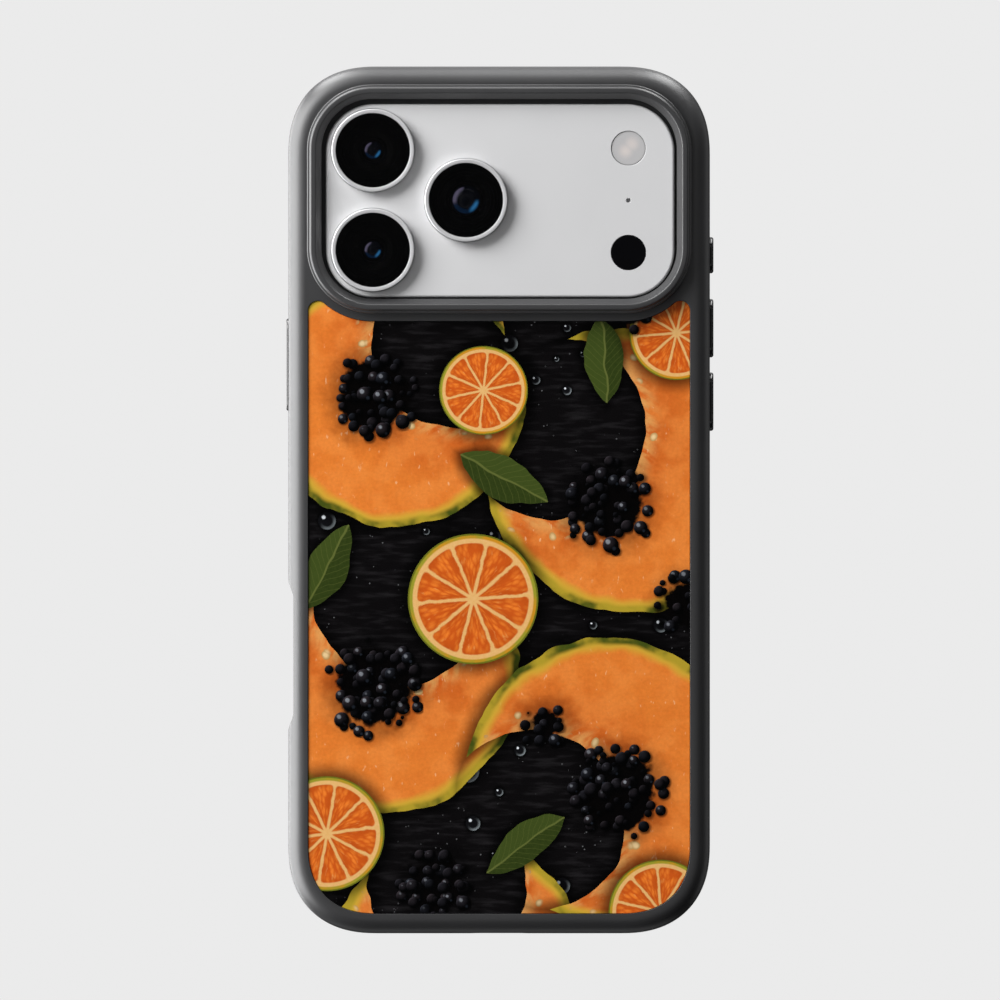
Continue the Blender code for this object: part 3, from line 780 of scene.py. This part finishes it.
def fruit_print():
    """The design. Motifs are (x, y, size, turn in degrees), and heaps (x, y, radius)."""
    ink = Print()
    ink.drops([(2, 30, 1.6, 0), (31, -24, 1.4, 0), (-6, -52, 2.2, 0), (-33, -72, 1.5, 0),
               (4, -48, 1.1, 0), (-1, -7, 1.3, 0), (-33, -4, 1.7, 0), (-5, -62, 1.4, 0),
               (12, -74, 1.6, 0), (7, 23, 0.9, 0), (-30, -9, 0.9, 0), (0, -56, 0.8, 0),
               (13, 33, 0.8, 0), (16, 28, 0.6, 0), (11, 27, 0.5, 0), (13, 21, 0.9, 0),
               (9, 35, 0.5, 0), (-14, -6, 0.7, 0), (18, -24, 0.8, 0), (-1, -68, 0.6, 0)])
    ink.slices([(14, 44, 18, 172), (-20, 20, 25, -50), (25, 6, 27.5, 62), (-22, -34, 26, -12),
                (-8, -88, 24, 8), (21, -54, 27.5, 118)])
    ink.leaves([(-33, -13, 9, 62), (1, 4, 9.5, -28), (5, -66, 9, 35), (20, 27, 8.5, 95)])
    ink.wheels([(-5, -19, 12.5, 40), (34, 32, 9, 5), (-33, -64, 11, 8), (31, -79, 10, 22),
                (-3, 21, 8.5, 12)])
    ink.heaps([(-24, 20, 8.5), (21, -1, 8.5), (-24, -36, 9), (23, -56, 9), (36, -20, 6),
               (-12, -74, 7), (25, 37, 4.5), (9, -43, 4.5)])
    return ink.done()


# Pieces


def sleeve_tray():
    """The tray without its openings: the inside, the lip, and the outside up to the back."""
    inside, lip_top = sleeve_outline(WALL - GAP), LIP_Z - 0.05
    nose_round, nose_z, nose_half = 0.12, 0.5, 0.45
    lip_edge = LIP_REACH - nose_round
    layers = [
        (inside, PHONE_BACK_Z + GAP),
        (inside, lip_top),
        (sleeve_outline(lip_edge), lip_top),
    ]
    for i in range(1, 8):
        a = math.pi * i / 8
        layers.append(
            (sleeve_outline(lip_edge + nose_round * math.sin(a)), nose_z + nose_half * math.cos(a))
        )
    layers.append((sleeve_outline(LIP_REACH - 0.3), 0.0))
    layers += [
        (sleeve_outline(LIP_ROUND * (1 - math.sin(a))), LIP_ROUND * (1 - math.cos(a)))
        for a in quarter_turn(8)
    ]
    layers += rounded_end(sleeve_outline, SLEEVE_BACK_Z, SHOULDER, 18)
    return loft("sleeve_moulding", layers)


def camera_ring():
    """The raised ring: a ledge, a rounded outer edge, a flat top and a slope to the window."""
    top, foot = RING_TOP_Z, SLEEVE_BACK_Z - 1.2
    profile = [
        (0.12, foot), (0.12, SLEEVE_BACK_Z + 0.12), (0.14, top - 0.86), (0.17, top - 0.74),
        (0.23, top - 0.66), (0.31, top - 0.63), (0.52, top - 0.61), (0.57, top - 0.52),
        (0.61, top - 0.37), (0.69, top - 0.19), (0.81, top - 0.07), (0.96, top - 0.01),
        (1.05, top), (1.58, top), (1.70, top - 0.02), (1.80, top - 0.07), (1.88, top - 0.16),
        (1.94, top - 0.28), (2.82, top - 1.62), (2.87, top - 1.70), (RING_BAND, top - 1.80),
        (3.4, top - 2.4), (3.4, foot),
    ]
    return loft("ring", [(ring_outline(inset), z) for inset, z in profile], closed=True)


def make_sleeve(finish):
    """The soft tray with the raised camera ring, and its recess, slots and openings."""
    sleeve = sleeve_tray()
    carve(sleeve, [camera_ring()], "UNION")

    back, floor = SLEEVE_BACK_Z, PLATE_BASE_Z - GAP
    wide, narrow = ring_outline(RING_BAND), plateau_outline(-FLANGE_GAP)
    # The window leaves the flange: black moulding put in the gap round the plateau as painted shade
    window = [
        (narrow, PHONE_BACK_Z - 1), (narrow, FLANGE_Z), (wide, FLANGE_Z), (wide, RING_TOP_Z + 1),
    ]
    tools = [
        loft("window", window),
        loft("recess", flared(plate_outline, floor, back, back + 0.5, 0.06)),
        loft("scoop", [(scoop_outline(), -1), (scoop_outline(), back + 1)]),
    ]
    wall, inner, outer = PHONE_X + WALL, PHONE_X - 1, PHONE_X + 3
    for name, (_, _, y, length, _, side) in BUTTONS.items():
        slot = stadium(length + 2 * GAP, BUTTON_HEIGHT + 2 * GAP)
        layers = flared(slot, side * inner, side * wall, side * outer, 0.18)
        tools.append(loft(name, layers, sideways, (0, y, MIDDLE_Z)))
    key_window = stadium(KEY_WINDOW_LENGTH, KEY_WINDOW_HEIGHT)
    layers = flared(key_window, -inner, -wall + SCOOP_DEPTH, -outer, 0.12)
    tools.append(loft("key_window", layers, sideways, (0, SCOOP_Y, MIDDLE_Z)))
    bottom = -PHONE_Y - WALL
    for x, length, height in BOTTOM_OPENINGS:
        layers = flared(stadium(length, height), -PHONE_Y + 1, bottom, bottom - 1, 0.2)
        tools.append(loft("opening", layers, lengthways, (x, 0, MIDDLE_Z)))
    carve(sleeve, tools)
    dress(sleeve, finish, "handset", ["sleeve"], 38)


def scoop_outline():
    """The scoop in the left wall, with a smooth ramp at each end."""
    wall, outside, half, steps = -PHONE_X - WALL, -PHONE_X - 3, SCOOP_LENGTH / 2, 14
    ramp = []
    for i in range(steps + 1):
        t = i / steps
        ramp.append((wall + SCOOP_DEPTH * t * t * (3 - 2 * t), -half + SCOOP_RAMP * t))
    shape = [(outside, -half)] + ramp + [(x, -y) for x, y in reversed(ramp)] + [(outside, half)]
    return [(x, y + SCOOP_Y) for x, y in shape]


def make_plate(finish):
    """The printed plate, a seam smaller than its recess all round."""
    layers = [(plate_outline(SEAM), PLATE_BASE_Z)]
    layers += rounded_end(lambda inset: plate_outline(SEAM + inset), PLATE_TOP_Z, 0.16, 4)
    plate = loft("back_print", layers)
    dress(plate, finish, "handset", ["printed_plate"])


def plateau_pockets():
    """Cutters for the windows, the microphone hole and the lenses, from above."""
    tools = []
    for y, depth, radius, edge_round, segments in (
        (FLASH_Y, WINDOW_DEPTH, WINDOW_RADIUS - 0.1, 0.12, 96),
        (SENSOR_Y, WINDOW_DEPTH, WINDOW_RADIUS, 0.05, 96),
        (MICROPHONE_Y, MICROPHONE_DEPTH, MICROPHONE_RADIUS, 0.12, 24),
    ):
        hole = disc(radius, segments)
        layers = flared(hole, PLATEAU_Z - depth, PLATEAU_Z, PLATEAU_Z + 1, edge_round)
        tools.append(loft("pocket", layers, at=(SMALL_X, y, 0)))
    bore, seat_z, above = BARREL_RADIUS + GAP, PLATEAU_Z - 0.6, LENS_TOP_Z - 0.4
    profile = [
        (bore, BARREL_FLOOR_Z - GAP), (bore, seat_z), (LENS_RADIUS, seat_z), (LENS_RADIUS, above),
    ]
    for x, y, _ in LENSES.values():
        tools.append(turned("pocket", profile, (x, y), 128))
    return tools


def bottom_pockets():
    """Cutters for the socket, the speaker holes and the seats of the screws, from below."""
    end, outside = -PHONE_Y, -PHONE_Y - 1.3
    layers = flared(stadium(SOCKET_WIDTH, SOCKET_HEIGHT), end + SOCKET_DEPTH, end, outside, 0.2)
    tools = [loft("socket", layers, lengthways, (0, 0, MIDDLE_Z))]
    hole = flared(disc(SPEAKER_HOLE_RADIUS, 32), end + SPEAKER_HOLE_DEPTH, end, outside, 0.08)
    seat = [(circle(SCREW_SEAT, 32), outside), (circle(SCREW_SEAT, 32), end + 0.6)]
    for side in (-1, 1):
        for i in range(SPEAKER_HOLES):
            x = side * SPEAKER_X + (i - (SPEAKER_HOLES - 1) / 2) * SPEAKER_PITCH
            tools.append(loft("hole", hole, lengthways, (x, 0, MIDDLE_Z)))
        tools.append(loft("seat", seat, lengthways, (side * SCREW_X, 0, MIDDLE_Z)))
    return tools


def make_phone(finish):
    """Frame and back in one, with the camera plateau, its pockets and the bottom edge."""
    rim_z, rim_round, back_round, plateau_round = LIP_Z + 0.1, 0.9, 2.1, 0.5
    layers = [(phone_outline(FRAME_RIM), LIP_Z + 1.0), (phone_outline(FRAME_RIM), rim_z)]
    layers += [
        (phone_outline(rim_round * (1 - math.sin(a))), rim_z + rim_round * (1 - math.cos(a)))
        for a in quarter_turn(6)
    ]
    layers += rounded_end(phone_outline, PHONE_BACK_Z, back_round, 10)
    phone = loft("phone_frame", layers)
    layers = [(plateau_outline(), PHONE_BACK_Z - 1)]
    layers += rounded_end(plateau_outline, PLATEAU_Z, plateau_round, 8)
    carve(phone, [loft("plateau", layers)], "UNION")

    key_seat = stadium(KEY_LENGTH + 2 * GAP, KEY_HEIGHT + 2 * GAP)
    deep = -PHONE_X + KEY_DEPTH + KEY_TRAVEL + GAP
    layers = flared(key_seat, deep, -PHONE_X, -PHONE_X - 1, 0.08)
    key_tool = loft("key_seat", layers, sideways, (0, SCOOP_Y, MIDDLE_Z))
    carve(phone, plateau_pockets() + bottom_pockets() + [key_tool])
    dress(phone, finish, "handset", ["phone_body"], 38)


def make_front(finish):
    """The front glass, with the listening slot near its upper edge."""
    layers = [(phone_outline(GLASS_INSET), LIP_Z + GLASS_THICKNESS)]
    layers += rounded_end(lambda more: phone_outline(GLASS_INSET + more), LIP_Z, 0.35, 6, -1)
    panel = loft("front_panel", layers)
    slot = stadium(EARPIECE_LENGTH, EARPIECE_WIDTH, 8)()
    slot_y = PHONE_Y - GLASS_INSET - EARPIECE_FROM_EDGE
    carve(panel, [loft("slot", [(slot, 0), (slot, LIP_Z + 0.4)], at=(0, slot_y, 0))])
    dress(panel, finish, "handset", ["front_glass"])


def make_lens(name, x, y, opening, metal, clear, black, element_finish):
    """A ring, a clear cover in it, a stepped barrel below and a front element in its opening."""
    base, top, groove = PLATEAU_Z - 0.58, LENS_TOP_Z, 0.14
    outer, seat = LENS_RADIUS - groove, COVER_RADIUS + 0.1
    profile = [(seat, base), (outer, base)] + rounded_rim(outer, top, 0.2, 6)
    profile += [(seat + 0.08, top), (seat + 0.02, top - 0.02), (seat, top - 0.08)]
    ring = turned(name + "_ring", profile, (x, y), 128, closed=True)
    dress(ring, metal, "handset", [name + "_lens_ring"], 34)

    edge, cover_top = COVER_RADIUS + 0.06, top - 0.12
    profile = [(edge, cover_top - COVER_THICKNESS)] + rounded_rim(edge, cover_top, 0.12, 4)
    cover = turned(name + "_cover", profile, (x, y), 128)
    dress(cover, clear, "handset", [name + "_lens_cover"], 34)

    rim, throat = top - 0.85, PLATEAU_Z - 0.9
    widest, narrowest, ridges, fall = 6.6, opening + 1.6, 3, 0.14
    step = (widest - narrowest) / ridges
    profile = [(BARREL_RADIUS, BARREL_FLOOR_Z), (BARREL_RADIUS, base), (edge, base), (edge, rim)]
    for i in range(ridges):
        r, z = widest - step * i, rim - fall * i
        profile += [(r - step * 0.75, z), (r - step * 0.85, z - 0.12), (r - step, z - fall)]
    profile += [
        (opening + 0.9, rim - 0.6), (opening + 0.7, rim - 0.85), (opening + 0.25, throat),
        (opening, throat - 0.08), (opening, BARREL_FLOOR_Z + 0.4),
    ]
    barrel = turned(name + "_barrel", profile, (x, y))
    dress(barrel, black, "handset", [name + "_lens_barrel"], 30)

    foot, half, dome = BARREL_FLOOR_Z + 0.5, opening - GAP, 0.55
    profile = [
        (half * math.cos(a), foot + dome * half * math.sin(a)) for a in quarter_turn(16)[:-1]
    ]
    element = turned(name + "_element", profile, (x, y))
    dress(element, element_finish, "handset", [name + "_lens_element"], 60)


def make_window(name, y, edge, top, finish, node):
    """A round window in the column beside the lenses."""
    profile = [(edge, PLATEAU_Z - 0.75)] + rounded_rim(edge, top, 0.1, 3)
    dress(turned(name, profile, (SMALL_X, y)), finish, "handset", [node])


def make_button(name, node, body, y, length, stand, side, finish):
    """A pill-shaped cover, a little dished on its face."""
    foot, face = PHONE_X + 0.5, PHONE_X + WALL + stand
    loop = stadium(length, BUTTON_HEIGHT, 14)
    layers = [(loop(), side * foot)] + rounded_end(loop, side * face, BUTTON_ROUND, 8, side)
    layers += [(loop(0.9), side * (face - 0.01)), (loop(1.3), side * (face - 0.06))]
    cover = loft(name + "_button", layers, sideways, (0, y, MIDDLE_Z))
    dress(cover, finish, body, [node])


def make_key(finish):
    """The flat key in the scoop, level with the frame."""
    loop = stadium(KEY_LENGTH, KEY_HEIGHT)
    layers = [(loop(), -PHONE_X + KEY_DEPTH)] + rounded_end(loop, -PHONE_X, 0.15, 4, -1)
    key = loft("side_key", layers, sideways, (0, SCOOP_Y, MIDDLE_Z))
    dress(key, finish, "capture_button", ["capture_key"])


def make_bottom(steel, contacts):
    """The tongue in the socket, and on each side of it a screw with a cross recess."""
    foot = -PHONE_Y + SOCKET_DEPTH - 0.1
    loop = stadium(TONGUE_WIDTH, TONGUE_THICKNESS, 8)
    layers = [(loop(), foot)] + rounded_end(loop, foot - TONGUE_LENGTH, 0.15, 4, -1)
    tongue = loft("port_tongue", layers, lengthways, (0, 0, MIDDLE_Z))
    dress(tongue, contacts, "handset", ["socket_tongue"])

    head = [(SCREW_RADIUS, 0.5), (SCREW_RADIUS, 0.2), (0.7, 0.12), (0.6, 0.1)]
    bar_length, bar_width = 0.42, 0.09
    for side, word in ((-1, "left"), (1, "right")):
        centre = (side * SCREW_X, 0, MIDDLE_Z)
        layers = [(circle(radius, 40), -PHONE_Y + depth) for radius, depth in head]
        screw = loft(word + "_frame_screw", layers, lengthways, centre)
        bars = []
        for half_x, half_z in ((bar_length, bar_width), (bar_width, bar_length)):
            bar = outline(half_x, half_z, quarter(0.04, 3))
            bars.append(loft("bar", [(bar, -PHONE_Y), (bar, -PHONE_Y + 0.3)], lengthways, centre))
        carve(screw, bars)
        dress(screw, steel, "handset", [word + "_screw"])


def lit_together(name, chosen):
    """A group of the pieces whose material is chosen."""
    group = bpy.data.collections.new(name)
    for piece in pieces:
        if chosen(piece.active_material):
            group.objects.link(piece)
    return group


def softbox(name, at, look, size, strength, group=None, scatter=True, shine=True):
    """A rectangular lamp. strength is its brightness as seen, whatever its size.

    It lights one group of pieces or all, and may be seen in reflections or not.
    """
    lamp = bpy.data.lights.new(name, "AREA")
    lamp.shape = "RECTANGLE"
    lamp.size, lamp.size_y = size
    lamp.energy = strength * math.pi * size[0] * size[1]
    holder = bpy.data.objects.new(name, lamp)
    holder.location = at
    holder.rotation_euler = (Vector(look) - Vector(at)).to_track_quat("-Z", "Y").to_euler()
    holder.visible_diffuse = scatter
    holder.visible_glossy = shine
    holder.visible_transmission = shine
    if group:
        holder.light_linking.receiver_collection = group
    bpy.context.scene.collection.objects.link(holder)


def lay_floor():
    """A pale floor that only the camera sees."""
    half = 3.0
    corners = [(-half, -half, 0), (half, -half, 0), (half, half, 0), (-half, half, 0)]
    data = bpy.data.meshes.new("pale_floor")
    data.from_pydata(corners, [], [(0, 1, 2, 3)])
    floor = bpy.data.objects.new("pale_floor", data)
    bpy.context.scene.collection.objects.link(floor)
    pale = Finish("pale floor", (0.0, 0.0, 0.0), 1.0, Specular_IOR_Level=0.0)
    pale.feed("Emission Color", (0.83, 0.83, 0.83))
    pale.feed("Emission Strength", 1.0)
    data.materials.append(pale.material)
    floor.visible_glossy = False
    floor.visible_diffuse = False
    floor.visible_transmission = False
    floor.visible_shadow = False


def hang_lamps(mouldings, rings):
    """Soft lamps for the mouldings, the lens rings, every piece, and the rest. In m."""
    target = (0, 0, 0.01)
    edges = lit_together("edge_lit", lambda material: material in mouldings)
    glints = lit_together("glint_lit", lambda material: material == rings)
    faces = lit_together("face_lit", lambda material: material not in mouldings)
    # Place, size, brightness on the black mouldings, and as a glint in the lens rings
    for name, at, size, strength, glint in (
        ("key", (-0.40, 0.34, 0.42), (0.46, 0.36), 6.0, 6.0),
        ("left_corner", (-0.22, 0.44, 0.0), (0.19, 0.40), 12.0, 8.8),
        ("right_corner", (0.21, 0.44, 0.02), (0.15, 0.42), 11.5, 0),
        ("left_box", (-0.42, 0.0, 0.085), (0.66, 0.43), 8.6, 8.4),
        ("left_floor", (-0.30, 0.0, -0.21), (0.50, 0.22), 5.4, 0),
        ("far_box", (0.0, 0.5, 0.08), (0.5, 0.50), 2.2, 2.45),
        ("far_floor", (0.0, 0.30, -0.26), (0.4, 0.22), 1.0, 0),
        ("right_floor", (0.30, 0.0, -0.10), (0.5, 0.20), 0.35, 0),
        ("near_floor", (0.0, -0.38, -0.12), (0.4, 0.20), 0.4, 0),
    ):
        softbox(name, at, target, size, strength, edges)
        if glint:
            softbox(name + "_glint", at, target, size, glint, glints, scatter=False)
    # A frame of lamps round the line of sight: place, length, brightness
    for name, at, length, strength in (
        ("frame_left", (-0.34, 0.0, 0.75), 0.9, 0.36),
        ("frame_right", (0.34, 0.0, 0.75), 0.9, 0.3),
        ("frame_far", (0.0, 0.34, 0.75), 0.42, 0.3),
        ("frame_near", (0.0, -0.34, 0.75), 0.42, 0.42),
    ):
        softbox(name, at, (0, 0, 0), (length, 0.26), strength)
    # Light that the rest only scatters, and then light that it only mirrors
    for name, at, size, strength in (
        ("day", (-1.072, 0.808, 0.66), (0.97, 0.84), 22.5),
        ("sky", (-0.1, 0.1, 0.8), (0.8, 0.8), 0.25),
        ("near_fill", (0.0, -0.5, 0.3), (0.6, 0.3), 0.5),
    ):
        softbox(name, at, target, size, strength, faces, shine=False)
    for name, at, size, strength in (
        ("sheen_key", (-0.40, 0.34, 0.42), (0.46, 0.36), 1.1),
        ("sheen_left", (-0.42, 0.0, 0.085), (0.66, 0.43), 0.8),
        ("sheen_far", (0.0, 0.5, 0.08), (0.8, 0.50), 0.7),
    ):
        softbox(name, at, target, size, strength, faces, scatter=False)

    world = bpy.data.worlds.new("dim_room")
    world.use_nodes = True
    world.node_tree.nodes["Background"].inputs["Color"].default_value = (0.022, 0.022, 0.023, 1)
    bpy.context.scene.world = world
    bpy.context.scene.view_settings.view_transform = "Standard"


def set_camera():
    """A long lens straight above. The photo's frame is view_width m wide at the level."""
    focal, sensor, view_width, level = 1200.0, 36.0, 0.1918, 0.0082
    middle_x, middle_y = 0.00017, -0.00002
    camera = bpy.data.cameras.new("overhead")
    camera.lens = focal
    camera.sensor_width = sensor
    camera.clip_start, camera.clip_end = 0.1, 10.0
    holder = bpy.data.objects.new("overhead", camera)
    holder.location = (middle_x, middle_y, level + view_width * focal / sensor)
    bpy.context.scene.collection.objects.link(holder)
    bpy.context.scene.camera = holder


def main():
    black, silver, bright, gloss = soft_black(), satin_silver(), turned_silver(), gloss_black()
    make_sleeve(black)
    make_plate(fruit_print())
    make_phone(silver)
    make_front(black_glass("front glass"))
    clear, barrel = cover_glass(), barrel_black()
    for name, (x, y, opening) in LENSES.items():
        element = element_with_painted_glints(name + " element", opening - GAP)
        make_lens(name, x, y, opening, bright, clear, barrel, element)
    make_window("flash_disc", FLASH_Y, WINDOW_RADIUS - 0.16, PLATEAU_Z - 0.12, flash_diffuser(),
                "flash_window")
    make_window("sensor_disc", SENSOR_Y, WINDOW_RADIUS - 0.06, PLATEAU_Z - 0.02,
                black_glass("sensor glass"), "depth_sensor_window")
    for name, (node, body, y, length, stand, side) in BUTTONS.items():
        make_button(name, node, body, y, length, stand, side, gloss)
    make_key(satin_silver())
    make_bottom(screw_steel(), socket_finish())
    lay_floor()
    hang_lamps((black.material, gloss.material), bright.material)
    set_camera()


main()
